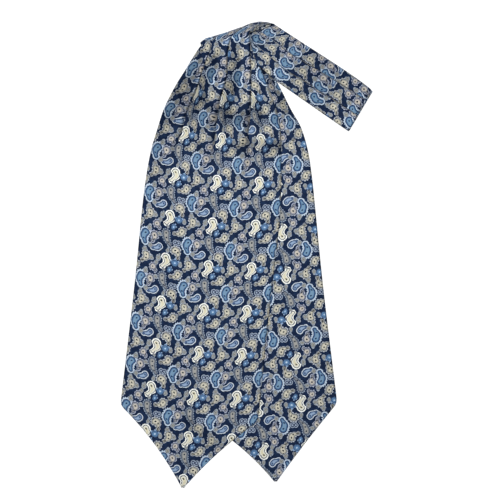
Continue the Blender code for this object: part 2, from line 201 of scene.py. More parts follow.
def across_blade(row, columns):
    """Points across a blade: places on top and beneath, height of the pleats and place in the cloth."""
    edges = (row.left_x, row.fold3, row.fold2, row.fold1, row.right_x)
    crests = (row.crest_a, row.crest_b, row.crest_c, row.crest_d)
    laps = (row.hidden3, row.hidden2, row.hidden1)
    lap = min(max(row.lap, 0.0), 1.0)
    turn_run = CLOSED_RUN + (OPEN_RUN - CLOSED_RUN) * (1.0 - lap) ** 1.5
    slack_run = SLACK_RUN + SLACK_SPREAD * (1.0 - lap)
    slant = math.hypot(row.right_x - row.left_x, row.right_y - row.left_y) / (row.right_x - row.left_x)
    hidden = 0.0
    slack = 0.0
    points = []
    for k in range(4):
        start = edges[k]
        last = k == 3
        turn_width = 0.0 if last else min(turn_run, WIDEST_TURN * (edges[k + 1] - start))
        end = edges[k + 1] - turn_width
        run = EDGE_RISE if k == 0 else PLEAT_RISE
        for i in range(columns[k]):
            x = start + (end - start) * i / columns[k]
            crest = max(crests[k], 0.0) * ease((x - start) / run)
            u = (x - row.left_x) * slant + hidden + slack * ease((x - start) / slack_run)
            points.append(Across(x, x, crest, u))
        hidden += slack
        crest = max(crests[k], 0.0) * ease((end - start) / run)
        if last:
            points.append(Across(end, end, crest, (end - row.left_x) * slant + hidden))
            continue
        tucked = max(laps[k], 0.0) * lap ** OPENS[k]
        slack = max(laps[k], 0.0) - tucked
        for turn in PLEAT_TURN:
            part = turn.open_run + (turn.closed_run - turn.open_run) * lap
            height = turn.open_height + (turn.closed_height - turn.open_height) * lap
            under = end + turn_width * turn.open_run
            u = (under - row.left_x) * slant + hidden + tucked * turn.hidden
            points.append(Across(end + turn_width * part, under, crest * height, u))
        hidden += tucked
    return points


def place(row, x):
    """Y of a point across a blade."""
    share = (x - row.left_x) / (row.right_x - row.left_x)
    return row.left_y + (row.right_y - row.left_y) * share + row.sag * 4.0 * share * (1.0 - share)


def inside_back(x, y):
    """Distance from a point in to the nearest long edge of the back blade, negative outside it."""
    rows = BACK_STATIONS[::-1]
    left = np.interp(y, [BACK_TIP[1]] + [r.left_y for r in rows], [BACK_TIP[0]] + [r.left_x for r in rows])
    right = np.interp(y, [BACK_TIP[1]] + [r.right_y for r in rows], [BACK_TIP[0]] + [r.right_x for r in rows])
    return min(x - left, right - x)


def pocket(x, y):
    """Depth of the dark pocket that opens beside the front blade's last pleat."""
    across = (x - POCKET_X) / POCKET_WIDE
    along = (y - POCKET_Y) / POCKET_LONG
    return POCKET_DEPTH * math.exp(-(across ** 2) - along ** 2)


def back_top(x, y):
    """Height of the back blade, which is gathered thick at the neck and thin at its edges."""
    gathered = ease((y - GATHER_START) / GATHER_LENGTH)
    return CLOTH_WALL + NECK_RISE * gathered * ease(inside_back(x, y) / GATHER_EDGE) - pocket(x, y)


def fold_point(share):
    """Point of the fold line, from its left end at 0 to its right end at 1."""
    x = FOLD_X[0] + share * (FOLD_X[-1] - FOLD_X[0])
    return np.array([x, np.interp(x, FOLD_X, FOLD_Y)])


def roll(turns, neck, highs, lows, wall, steepens):
    """Outer and inner rows of cloth rolled round the fold line. Pleats show at the steep end of the roll."""
    table = np.array(turns)
    stops = np.linspace(0, len(turns) - 1, (len(turns) - 1) * ROLL_STEPS + 1)[:-1]
    turns = [Roll(*[np.interp(s, range(len(table)), table[:, c]) for c in range(4)]) for s in stops]
    base = table[-1][3]
    first = neck[0].x_under
    width = neck[-1].x_under - first
    outer_rows = []
    inner_rows = []
    for turn in turns:
        reach = math.cos(math.radians(turn.angle))
        climb = math.sin(math.radians(turn.angle))
        relief = ease((steepens * turn.angle - LAPS_AT_ANGLE) / (LAPS_WHOLE_ANGLE - LAPS_AT_ANGLE))
        outer = []
        inner = []
        for i, point in enumerate(neck):
            share = relief * (point.x_under - first) / width + (1.0 - relief) * i / (len(neck) - 1)
            edge = fold_point(turn.left_end + (turn.right_end - turn.left_end) * share)
            settled = CORNER_INSET + (1.0 - CORNER_INSET) * ease(share / CORNER_SHARE)
            inset = base + (turn.inset - base) * settled
            high = highs[i] + (1.0 - relief) * (ROLL_CREST - point.crest)
            middle = (high + lows[i]) / 2
            half = (high - lows[i]) / 2
            out = edge + INWARD * (inset - ROLL_REACH * reach)
            back = edge + INWARD * (inset - (ROLL_REACH - wall) * reach)
            outer.append((*out, middle + half * climb))
            inner.append((*back, middle + (half - wall) * climb))
        outer_rows.append(outer)
        inner_rows.append(inner)
    return outer_rows, inner_rows


def heights_up(rows, corner):
    """Distances up the cloth from the blade's corners, at each point of its rows."""
    left = np.array([[r.left_x, r.left_y] for r in rows])
    right = np.array([[r.right_x, r.right_y] for r in rows])
    up_left = np.append(0.0, np.cumsum(np.linalg.norm(np.diff(left, axis=0), axis=1)))
    up_right = np.append(0.0, np.cumsum(np.linalg.norm(np.diff(right, axis=0), axis=1)))
    return up_left[corner] - up_left, up_right[corner] - up_right


def cloth_places(rows, points, corner, bow):
    """Place in the cloth of each point of a blade: across from its left corner, and up from its corners."""
    up_left, up_right = heights_up(rows, corner)
    low = rows[corner]
    chord = np.array([low.right_x - low.left_x, low.right_y - low.left_y])
    width = np.linalg.norm(chord)
    along = chord / width
    up = np.array([-along[1], along[0]])
    places = []
    for k, row in enumerate(rows):
        line = []
        for point in points[k]:
            share = (point.x_top - row.left_x) / (row.right_x - row.left_x)
            if k <= corner:
                v = up_left[k] + (up_right[k] - up_left[k]) * share
                line.append((point.u, v + (bow + row.sag) * 4.0 * share * (1.0 - share)))
            else:
                away = np.array([point.x_top - low.left_x, place(row, point.x_top) - low.left_y])
                u = away @ along
                line.append((u, away @ up + bow * 4.0 * u / width * (1.0 - u / width)))
        places.append(line)
    return places


def rolled_places(rolled, first_outer, first_places):
    """Places in the cloth of rolled rows, which carry on from a blade's first row and fan out at the right."""
    rows = np.array(list(rolled) + [first_outer])
    steps = np.linalg.norm(np.diff(rows, axis=0), axis=2).mean(axis=1)
    beyond = np.cumsum(steps[::-1])[::-1]
    fan = ease((np.linspace(0.0, 1.0, rows.shape[1]) - FAN_FROM) / (1.0 - FAN_FROM))
    spread = np.maximum((rows[:-1] - rows[-1]) @ ALONG_FOLD, 0.0) * fan
    return [[(u + wide, v + far) for (u, v), wide in zip(first_places, line)]
            for far, line in zip(beyond, spread)]


# The second map, OFBake: the upper side fills its left half and the under side its right half
BAKE_MARGIN = 0.01
BAKE_HALF = 0.48
BAKE_HEM = 0.003
MERGE_WITHIN = 1e-6


def cloth(name, outer, inner, places):
    """Closed cloth with a round edge, through rows of points on its two sides, the tip's row last."""
    outer = np.array(outer, float)[::-1]
    inner = np.array(inner, float)[::-1]
    places = np.array(places, float)[::-1]
    middle = (outer + inner) / 2
    for side in (outer, inner):
        for edge, beside in ((0, 1), (-1, -2)):
            step = side[:, beside] - side[:, edge]
            side[:, edge] += step * (HEM_ROUND / np.linalg.norm(step, axis=1))[:, None]
        for edge, beside in ((0, 1), (-1, -2)):
            step = side[beside] - side[edge]
            side[edge] += step * (HEM_ROUND / np.linalg.norm(step, axis=1))[:, None]
    ring = np.concatenate([middle[:, :1], outer, middle[:, -1:], inner[:, ::-1], middle[:, :1]], axis=1)
    flat = np.concatenate([middle[:, :1], middle, middle[:, -1:], middle[:, ::-1], middle[:, :1]], axis=1)
    ring = np.concatenate([flat[:1], ring, flat[-1:]])
    print_at = np.concatenate([places[:, :1], places, places[:, -1:], places[:, ::-1], places[:, :1]], axis=1)
    print_at = np.concatenate([print_at[:1], print_at, print_at[-1:]])
    low = places.min(axis=(0, 1))
    span = np.ptp(places, axis=(0, 1))
    top = BAKE_MARGIN + BAKE_HALF * (places[:, :, 0] - low[0]) / span[0]
    hem = np.ones_like(top[:, :1])
    bake_u = [BAKE_HEM * hem, top, 0.5 * hem, 1.0 - top[:, ::-1], (1.0 - BAKE_HEM) * hem]
    bake_u = np.concatenate(bake_u, axis=1)
    bake_u = np.concatenate([bake_u[:1], bake_u, bake_u[-1:]])
    bake_v = BAKE_MARGIN + (1.0 - 2.0 * BAKE_MARGIN) * (print_at[:, :, 1] - low[1]) / span[1]

    rows, count = ring.shape[:2]
    bpy.ops.mesh.primitive_grid_add(x_subdivisions=count - 1, y_subdivisions=rows - 1, size=1.0)
    piece = bpy.context.active_object
    piece.name = name
    mesh = piece.data
    mesh.name = name
    mesh.vertices.foreach_set("co", (ring * MM).ravel())
    corners = np.zeros(len(mesh.loops), dtype=int)
    mesh.loops.foreach_get("vertex_index", corners)
    while mesh.uv_layers:
        mesh.uv_layers.remove(mesh.uv_layers[0])
    for map_name, u, v in (("cloth", print_at[:, :, 0], print_at[:, :, 1]), ("OFBake", bake_u, bake_v)):
        layer = mesh.uv_layers.new(name=map_name)
        pairs = np.stack([u.ravel(), v.ravel()], axis=1)
        layer.data.foreach_set("uv", pairs[corners].ravel())
    bpy.ops.object.mode_set(mode="EDIT")
    bpy.ops.mesh.select_all(action="SELECT")
    bpy.ops.mesh.remove_doubles(threshold=MERGE_WITHIN)
    bpy.ops.object.mode_set(mode="OBJECT")
    softened = piece.modifiers.new("Softened", "SUBSURF")
    softened.levels = 1
    softened.render_levels = 1
    bpy.ops.object.modifier_apply(modifier="Softened")
    bpy.ops.object.shade_smooth()
    bpy.ops.object.select_all(action="DESELECT")
    return piece


# The print is a small square repeat of paisleys. Each motif is a rounded drop whose tail curls to one side,
# inside a box of its own, and the nearest motif is drawn at each point of the cloth. A kind's size, widths and
# depths are in millimetres, and its colours run from its rim inwards.
REPEAT = 47.3
Kind = namedtuple(
    "Kind",
    "name size reach taper bow hook lobes lobe spacing rim_width ring_width core_depth rim ring body core dot",
)
KINDS = [
    Kind("cream", 5.2, 1.75, 0.26, 0.48, -0.56, 0, 0.0, 4.0, 1.25, 0.85, 3.5,
         (244, 244, 238), (70, 72, 80), (220, 218, 206), (214, 206, 178), (44, 44, 50)),
    Kind("large_blue", 6.2, 1.60, 0.32, -0.28, 0.12, 15, 0.5, 0.5, 1.7, 0.9, 3.7,
         (184, 198, 214), (28, 48, 84), (66, 98, 136), (116, 146, 172), (30, 50, 84)),
    Kind("flower", 4.6, 1.00, 0.00, 0.00, 0.00, 6, 0.8, 4.0, 0.9, 0.6, 3.4,
         (134, 160, 192), (34, 54, 90), (86, 120, 158), (128, 158, 190), (182, 202, 222)),
    Kind("slip", 3.7, 1.80, 0.20, 0.20, -0.40, 0, 0.0, 0.9, 0.9, 0.7, 2.4,
         (200, 209, 220), (28, 46, 80), (92, 116, 150), (144, 164, 190), (58, 80, 116)),
    Kind("beige", 5.0, 1.55, 0.42, 0.28, -0.68, 11, 0.5, 0.36, 0.9, 0.6, 2.8,
         (184, 188, 194), (62, 68, 82), (162, 159, 148), (204, 198, 180), (24, 28, 40)),
    Kind("grey", 4.8, 2.10, 0.45, -0.20, 0.50, 12, 0.5, 0.5, 0.8, 0.7, 2.8,
         (142, 154, 170), (42, 54, 76), (120, 124, 132), (160, 158, 152), (38, 46, 62)),
    Kind("lilac", 5.0, 1.30, 0.45, 0.15, -0.50, 9, 0.5, 0.42, 0.9, 0.7, 2.8,
         (168, 174, 192), (46, 54, 76), (148, 148, 154), (196, 188, 176), (30, 36, 50)),
    Kind("ring", 2.7, 1.00, 0.00, 0.00, 0.00, 0, 0.0, 4.0, 0.8, 0.8, 2.6,
         (154, 166, 184), (26, 38, 68), (108, 122, 146), (108, 122, 146), (152, 164, 182)),
    Kind("bead", 2.7, 1.00, 0.00, 0.00, 0.00, 3, 0.5, 4.0, 0.8, 0.5, 2.7,
         (156, 164, 174), (98, 102, 110), (178, 174, 162), (178, 174, 162), (120, 122, 122)),
]

# A kind's measures are held in colour ramps, as shares of these ranges
RANGES = {
    "size": (0.0, 8.0),
    "reach": (0.0, 4.0),
    "taper": (0.0, 1.0),
    "bow": (-1.0, 1.0),
    "hook": (-2.0, 2.0),
    "lobes": (0.0, 20.0),
    "lobe": (0.0, 1.0),
    "spacing": (0.0, 8.0),
    "rim_width": (0.0, 4.0),
    "ring_width": (0.0, 4.0),
    "core_depth": (0.0, 4.0),
}

# Where the motifs lie: centres as shares of the repeat, turns in degrees and half sizes in millimetres
Motif = namedtuple("Motif", "kind across down turn half_width half_length")
MOTIFS = [
    Motif("cream", 0.005, 0.000, 0, 5.2, 9.2),
    Motif("bead", 0.035, -0.262, -8, 2.0, 3.3),
    Motif("bead", -0.165, -0.042, 20, 2.8, 3.2),
    Motif("flower", 0.225, -0.005, 0, 4.9, 4.4),
    Motif("flower", 0.118, 0.175, -27, 2.9, 4.0),
    Motif("bead", 0.355, 0.012, 0, 2.3, 3.0),
    Motif("beige", 0.250, -0.258, 52, 5.6, 7.8),
    Motif("beige", 0.540, 0.020, -6, 5.0, 7.8),
    Motif("bead", 0.505, -0.160, 0, 2.9, 3.0),
    Motif("bead", 0.672, -0.004, 0, 2.8, 2.8),
    Motif("slip", 0.775, -0.268, -54, 4.0, 7.2),
    Motif("bead", 0.622, -0.280, 10, 2.9, 2.9),
    Motif("lilac", 0.747, 0.198, 70, 5.0, 5.2),
    Motif("bead", 0.798, 0.070, -22, 2.3, 3.3),
    Motif("beige", 0.280, 0.285, -42, 4.8, 8.0),
    Motif("grey", -0.010, 0.462, 14, 4.8, 10.4),
    Motif("ring", 0.190, 0.520, 0, 2.7, 3.0),
    Motif("ring", 0.268, 0.528, 0, 2.7, 3.0),
    Motif("large_blue", 0.484, 0.548, -4, 6.4, 10.2),
    Motif("bead", 0.566, 0.325, -10, 3.0, 3.6),
    Motif("lilac", 0.700, 0.505, 10, 5.2, 7.0),
    Motif("bead", 0.812, 0.405, -10, 3.4, 2.2),
    Motif("bead", 0.985, 0.190, 30, 1.6, 2.0),
    Motif("bead", 0.400, 0.190, 0, 1.8, 1.8),
    Motif("bead", 0.855, -0.085, 0, 1.6, 2.4),
]
GROUND = (19, 33, 60)
NAVY_FLECK = (25, 42, 72)
FLECK_SCALE = 9.0
FLECK_FROM = 0.52
DOT_RADIUS = 0.95
WAVER = 0.022
WAVER_SCALE = 26.0

# The finish of the silk, and its yarns: the twill's pitch is in millimetres and the bump's depth in metres
SATIN = 0.4
GLOSS = 0.08
GLOSS_TINT = (0.8, 0.9, 1.0, 1.0)
SHEEN = 0.05
SHEEN_SPREAD = 0.4
SHEEN_TINT = (0.75, 0.82, 1.0, 1.0)
SILK_ROUGHNESS = 0.5
THREAD_SMOOTHING = 0.08
TWILL_PITCH = 0.7
TWILL_TONE = 0.02
THREAD_SCALE = (160.0, 24.0, 1.0)
THREAD_TONE = 0.10
DARKEST_TONE = 0.93
TWILL_BUMP = 0.5
BUMP_STRENGTH = 0.35
BUMP_DEPTH = 0.00006


def dye(colour):
    """Linear colour of an sRGB one."""
    return [((c / 255 + 0.055) / 1.055) ** 2.4 for c in colour] + [1.0]


class Wire:
    """A socket in a material. Sums written with it become Math nodes."""

    tree = None

    def __init__(self, socket):
        self.socket = socket

    @classmethod
    def node(cls, kind, settings=None, inputs=None, output=0):
        made = cls.tree.nodes.new(kind)
        for name, value in (settings or {}).items():
            if name == "stops":
                ramp = made.color_ramp
                ramp.interpolation = "CONSTANT"
                while len(ramp.elements) < len(value):
                    ramp.elements.new(1.0)
                for element, (position, colour) in zip(ramp.elements, value):
                    element.position = position
                    element.color = colour
            else:
                setattr(made, name, value)
        for key, value in (inputs or {}).items():
            if isinstance(value, Wire):
                cls.tree.links.new(value.socket, made.inputs[key])
            else:
                made.inputs[key].default_value = value
        return cls(made.outputs[output])

    @classmethod
    def maths(cls, operation, *values):
        return cls.node("ShaderNodeMath", {"operation": operation}, dict(enumerate(values)))

    def __add__(self, other):
        return Wire.maths("ADD", self, other)

    def __radd__(self, other):
        return Wire.maths("ADD", other, self)

    def __sub__(self, other):
        return Wire.maths("SUBTRACT", self, other)

    def __rsub__(self, other):
        return Wire.maths("SUBTRACT", other, self)

    def __mul__(self, other):
        return Wire.maths("MULTIPLY", self, other)

    def __rmul__(self, other):
        return Wire.maths("MULTIPLY", other, self)

    def __truediv__(self, other):
        return Wire.maths("DIVIDE", self, other)

    def __pow__(self, other):
        return Wire.maths("POWER", self, other)

    def __lt__(self, other):
        return Wire.maths("LESS_THAN", self, other)

    def __gt__(self, other):
        return Wire.maths("GREATER_THAN", self, other)

    def vector(self, operation, *values):
        inputs = {0: self}
        inputs.update({i + 1: value for i, value in enumerate(values)})
        output = 1 if operation in ("LENGTH", "DOT_PRODUCT") else 0
        return Wire.node("ShaderNodeVectorMath", {"operation": operation}, inputs, output)

    def parts(self):
        return [Wire.node("ShaderNodeSeparateXYZ", None, {0: self}, axis) for axis in range(3)]


def pick(mask, there, here):
    """The vector there where mask is 1, and here where it is 0."""
    return Wire.node("ShaderNodeMix", {"data_type": "VECTOR"}, {0: mask, 4: here, 5: there}, 1)


def paint(mask, over, under):
    """The colour over where mask is 1, and under where it is 0."""
    return Wire.node("ShaderNodeMix", {"data_type": "RGBA"}, {0: mask, 6: under, 7: over}, 2)


def printed_silk(name):
    """Printed silk twill: small paisleys on navy, drawn in the cloth's own places."""
    material = bpy.data.materials.new(name)
    material.use_nodes = True
    Wire.tree = material.node_tree
    shader = material.node_tree.nodes["Principled BSDF"]
    shader.inputs["Specular IOR Level"].default_value = GLOSS
    shader.inputs["Specular Tint"].default_value = GLOSS_TINT
    shader.inputs["Metallic"].default_value = SATIN
    shader.inputs["Sheen Weight"].default_value = SHEEN
    shader.inputs["Sheen Roughness"].default_value = SHEEN_SPREAD
    shader.inputs["Sheen Tint"].default_value = SHEEN_TINT

    # The hand of the print: outlines waver a little, by at most half a millimetre
    cloth_map = Wire.node("ShaderNodeUVMap", {"uv_map": "cloth"})
    waver_inputs = {"Vector": cloth_map, "Scale": WAVER_SCALE, "Detail": 1.0}
    waver = Wire.node("ShaderNodeTexNoise", None, waver_inputs, 1).vector("SUBTRACT", (0.5, 0.5, 0.5))
    at = cloth_map.vector("ADD", waver.vector("MULTIPLY", (WAVER, WAVER, 0.0)))

    nearest = None
    for motif in MOTIFS:
        x = motif.across
        y = -motif.down
        near = at.vector("WRAP", (x + 0.5, y + 0.5, 1.0), (x - 0.5, y - 0.5, -1.0))
        local = Wire.node("ShaderNodeMapping", {"vector_type": "TEXTURE"}, {
            "Vector": near,
            "Location": (x, y, 0.0),
            "Rotation": (0.0, 0.0, math.radians(motif.turn)),
            "Scale": (motif.half_width / REPEAT, motif.half_length / REPEAT, 1.0),
        })
        distance = local.vector("LENGTH")
        number = float([kind.name for kind in KINDS].index(motif.kind))
        if nearest is None:
            nearest, drawn, which = distance, local, Wire.maths("ADD", number, 0.0)
            continue
        closer = distance < nearest
        drawn = pick(closer, local, drawn)
        which = Wire.maths("MULTIPLY_ADD", number - which, closer, which)
        nearest = Wire.maths("MINIMUM", distance, nearest)

    lookup = (which + 0.5) / len(KINDS)

    def chart(column):
        stops = [(i / len(KINDS), column(kind)) for i, kind in enumerate(KINDS)]
        return Wire.node("ShaderNodeValToRGB", {"stops": stops}, {0: lookup})

    def measures(*names):
        lows = [RANGES[name][0] for name in names]
        spans = [RANGES[name][1] - RANGES[name][0] for name in names]

        def shares(kind):
            held = [(getattr(kind, name) - low) / span for name, low, span in zip(names, lows, spans)]
            return held + [1.0] * (4 - len(held))

        return [part * span + low for part, span, low in zip(chart(shares).parts(), spans, lows)]

    reach, taper, size = measures("reach", "taper", "size")
    bow, hook, lobes = measures("bow", "hook", "lobes")
    spacing, lobe, rim = measures("spacing", "lobe", "rim_width")
    ring, core = measures("ring_width", "core_depth")
    body = rim + ring
    tail = 2.0 * reach - 2.0 + taper

    # The drop: a round head, and a tail that narrows along a bowed and hooked line
    x, y, _ = drawn.parts()
    above = y * reach - (reach - 1.0)
    along = Wire.maths("MINIMUM", Wire.maths("MAXIMUM", 0.0 - above, 0.0), tail)
    share = along / Wire.maths("MAXIMUM", tail, 0.001)
    beside = x - (bow * 4.0 * share * (1.0 - share) + hook * share * share)
    beyond = above + along
    width = 1.0 - taper * share ** 1.2
    around = Wire.maths("ARCTAN2", Wire.maths("ABSOLUTE", beside), Wire.maths("MAXIMUM", beyond, 0.0)) + along
    depth = size * (width - (beside * beside + beyond * beyond) ** 0.5)
    scallop = lobe * Wire.maths("COSINE", around * lobes)
    dots = size * (beside * beside + Wire.maths("WRAP", above, spacing, 0.0 - spacing) ** 2.0) ** 0.5

    fleck = Wire.node("ShaderNodeTexNoise", None, {"Vector": cloth_map, "Scale": FLECK_SCALE}) > FLECK_FROM
    colour = paint(fleck, dye(NAVY_FLECK), dye(GROUND))
    colour = paint(depth + scallop > 0.0, chart(lambda kind: dye(kind.rim)), colour)
    colour = paint(depth > rim, chart(lambda kind: dye(kind.ring)), colour)
    colour = paint(depth > body, chart(lambda kind: dye(kind.body)), colour)
    colour = paint(depth > core, chart(lambda kind: dye(kind.core)), colour)
    colour = paint((dots < DOT_RADIUS) * (depth > body), chart(lambda kind: dye(kind.dot)), colour)

    # The yarns: fine diagonal twill lines, with a little unevenness from thread to thread
    u, v, _ = cloth_map.parts()
    twill = Wire.maths("SINE", (u + v) * (REPEAT * 2 * math.pi / TWILL_PITCH))
    thread_inputs = {"Vector": cloth_map.vector("MULTIPLY", THREAD_SCALE), "Scale": 1.0, "Detail": 2.0}
    threads = Wire.node("ShaderNodeTexNoise", None, thread_inputs)
    tone = DARKEST_TONE + threads * THREAD_TONE + twill * TWILL_TONE
    grey_tone = Wire.node("ShaderNodeCombineXYZ", None, {0: tone, 1: tone, 2: tone})
    weave = {0: 1.0, 6: colour, 7: grey_tone}
    colour = Wire.node("ShaderNodeMix", {"data_type": "RGBA", "blend_type": "MULTIPLY"}, weave, 2)
    rough = SILK_ROUGHNESS - threads * THREAD_SMOOTHING
    relief = twill * TWILL_BUMP + threads
    bump_inputs = {"Strength": BUMP_STRENGTH, "Distance": BUMP_DEPTH, "Height": relief}
    bump = Wire.node("ShaderNodeBump", None, bump_inputs)
    links = material.node_tree.links
    links.new(colour.socket, shader.inputs["Base Color"])
    links.new(rough.socket, shader.inputs["Roughness"])
    links.new(bump.socket, shader.inputs["Normal"])
    return material


silk = printed_silk("printed_silk")

back_rows = between(BACK_STATIONS, BACK_STEPS)
back_corner = len(back_rows) - 1
back_rows += tip_rows(back_rows[-1], BACK_TIP, BACK_TIP_INSETS, TIP_STEPS)
back_points = [across_blade(row, BACK_COLUMNS) for row in back_rows]
back_tops = []
back_unders = []
for row, points in zip(back_rows, back_points):
    gathered = max(row.crest_a, row.crest_b, row.crest_c, 0.0)
    heights = [max(back_top(p.x_under, place(row, p.x_under)) - gathered + p.crest, CLOTH_WALL)
               for p in points]
    back_tops.append([(p.x_top, place(row, p.x_top), z) for p, z in zip(points, heights)])
    back_unders.append([(p.x_under, place(row, p.x_under), 0.0) for p in points])
back_places = cloth_places(back_rows, back_points, back_corner, BACK_BOW)
back_neck = [point._replace(crest=ROLL_CREST) for point in back_points[0]]
roll_outer, roll_inner = roll(BACK_ROLL, back_neck, [UPPER_STRAND - GAP] * len(back_neck),
                              [0.0] * len(back_neck), BAND_WALL, -1)
back_places = rolled_places(roll_outer, back_unders[0], back_places[0]) + back_places
back_places = [[((BACK_CREAM[0] - u) / REPEAT, (BACK_CREAM[1] - v) / REPEAT) for u, v in line]
               for line in back_places]
back_blade = cloth("back_blade_silk", roll_inner + back_tops, roll_outer + back_unders, back_places)
back_blade.data.materials.append(silk)
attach(back_blade, "root")
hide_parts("back_blade")

# Neckband.
# A narrow band of the same silk, pleated along its length into three strips that lap, and folded double at its
# right end. Its two strands lie on each other and climb on to the gathered neck at their left end.
END_LOW = np.array([112.5, 135.5])
END_HIGH = np.array([139.0, 180.0])
NECK_LOW = np.array([30.0, 192.5])
NECK_HIGH = np.array([61.0, 233.4])
UPPER_NORMAL = np.array([0.55, 0.83])
UPPER_BULGE = 1.8
BULGE_LEAN = 0.6

# Where the band passes into the fold: shares of its width, shares of the fold line and distances in from it
SEAM_SHARE = (0.0, 0.5, 0.7, 0.85, 1.0)
SEAM_ALONG = (0.36, 0.66, 0.760, 0.870, 0.985)
SEAM_INSET = (9.3, 9.3, 9.3, 4.0, 0.3)

# How far the band lies flat from its fold, over what length it then climbs, and the length beyond its neck
BAND_ON_FLOOR = 25.0
BAND_CLIMB = 80.0
NECK_TURN = 60.0
NECK_STEPS = 12
BAND_STEPS = 40
BAND_FOLD_ANGLES = (-75, -60, -45, -30, -15, 0, 15, 30, 45, 60, 75)

# Strips from the lower edge up: where each ends as shares of the band's width at the fold and at the neck, how
# high its lower edge stands where it laps the strip below, and where its large blue paisley lies, up from the
# band's lower edge and along from its neck
Strip = namedtuple("Strip", "fold_end neck_end crest blue_up blue_along")
STRIPS = [
    Strip(0.38, 0.31, 0.0, 9.8, 3.6),
    Strip(0.74, 0.655, 0.8, 22.4, 0.0),
    Strip(1.00, 1.00, 0.8, 38.0, -1.0),
]
STRIP_COLUMNS = 8
STRIP_STEP = 0.008
STRIP_FADE = 5.0
STRIP_NECK_FADE = 0.75

# Centre of the large blue paisley in the repeat
BLUE_AT = (0.484, 0.548)
BAND_LENGTH = float(np.linalg.norm(NECK_LOW - END_LOW))
BandPoint = namedtuple("BandPoint", "at crest across along")


def across_band(t):
    """Places across the neckband, t from its fold to its neck, with the height of its pleats and its print."""
    low = END_LOW + (NECK_LOW - END_LOW) * t
    bulge = UPPER_BULGE * math.sin(math.pi * t ** BULGE_LEAN)
    high = END_HIGH + (NECK_HIGH - END_HIGH) * t + UPPER_NORMAL * bulge
    width = np.linalg.norm(high - low)
    fade = ease(t * BAND_LENGTH / STRIP_FADE)
    line = []
    start = 0.0
    for strip in STRIPS:
        end = strip.fold_end + (strip.neck_end - strip.fold_end) * t
        for i in range(STRIP_COLUMNS + 1):
            part = i / STRIP_COLUMNS
            share = start + (end - start) * part
            across = BLUE_AT[0] + (share * width - strip.blue_up) / REPEAT
            along = BLUE_AT[1] + (BAND_LENGTH * (1.0 - t) - strip.blue_along) / REPEAT
            crest = strip.crest * fade * (1.0 - ease(part))
            line.append(BandPoint(low + (high - low) * share, crest, across, along))
        start = end + STRIP_STEP
    return line


band_lines = [(BAND_LENGTH * i / BAND_STEPS, across_band(i / BAND_STEPS)) for i in range(BAND_STEPS + 1)]
neck_line = band_lines[-1][1]
neck_width = np.linalg.norm(neck_line[-1].at - neck_line[0].at)
for step in range(1, NECK_STEPS + 1):
    t = step / NECK_STEPS
    line = []
    for point in neck_line:
        share = np.linalg.norm(point.at - neck_line[0].at) / neck_width
        inset = INWARD * np.interp(share, SEAM_SHARE, SEAM_INSET)
        seam = fold_point(np.interp(share, SEAM_SHARE, SEAM_ALONG)) + inset
        crest = point.crest * (1.0 - ease(t / STRIP_NECK_FADE))
        line.append(BandPoint(point.at + (seam - point.at) * t, crest, point.across,
                              point.along - NECK_TURN * t / REPEAT))
    band_lines.append((BAND_LENGTH + NECK_TURN * t, line))

radius = BAND_WALL + GAP / 2
outward = (END_LOW - NECK_LOW) / BAND_LENGTH
band_lines[0] = (0.0, [point._replace(at=point.at - outward * radius) for point in band_lines[0][1]])
lower_strand = []
upper_strand = []
for distance, line in band_lines:
    climbed = LOWER_STRAND * ease((distance - BAND_ON_FLOOR) / BAND_CLIMB)
    for point in line:
        low = climbed - pocket(*point.at)
        high = low + BAND_WALL + GAP
        under = -point.along - (2.0 * distance + math.pi * radius) / REPEAT
        lower_strand.append(((*point.at, low), (*point.at, low + BAND_WALL), (point.across, under)))
        upper_strand.append(((*point.at, high + BAND_WALL + point.crest), (*point.at, high),
                             (point.across, -point.along)))
band_fold = []
for angle in BAND_FOLD_ANGLES:
    reach = outward * math.cos(math.radians(angle))
    climb = math.sin(math.radians(angle))
    turned = radius * math.radians(90 - angle) / REPEAT
    for point in band_lines[0][1]:
        band_fold.append(((*(point.at + reach * radius), radius + radius * climb),
                          (*(point.at + reach * GAP / 2), radius + GAP / 2 * climb),
                          (point.across, -point.along - turned)))
across = len(neck_line)
sections = []
for strand, order in ((lower_strand, -1), (band_fold, 1), (upper_strand, 1)):
    strand = [strand[k:k + across] for k in range(0, len(strand), across)]
    sections += strand[::order]
band_outer = [[outer for outer, inner, printed in line] for line in sections]
band_inner = [[inner for outer, inner, printed in line] for line in sections]
band_places = [[printed for outer, inner, printed in line] for line in sections]
neckband = cloth("neckband_silk", band_outer, band_inner, band_places)
neckband.data.materials.append(silk)
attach(neckband, "root")
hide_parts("neckband")

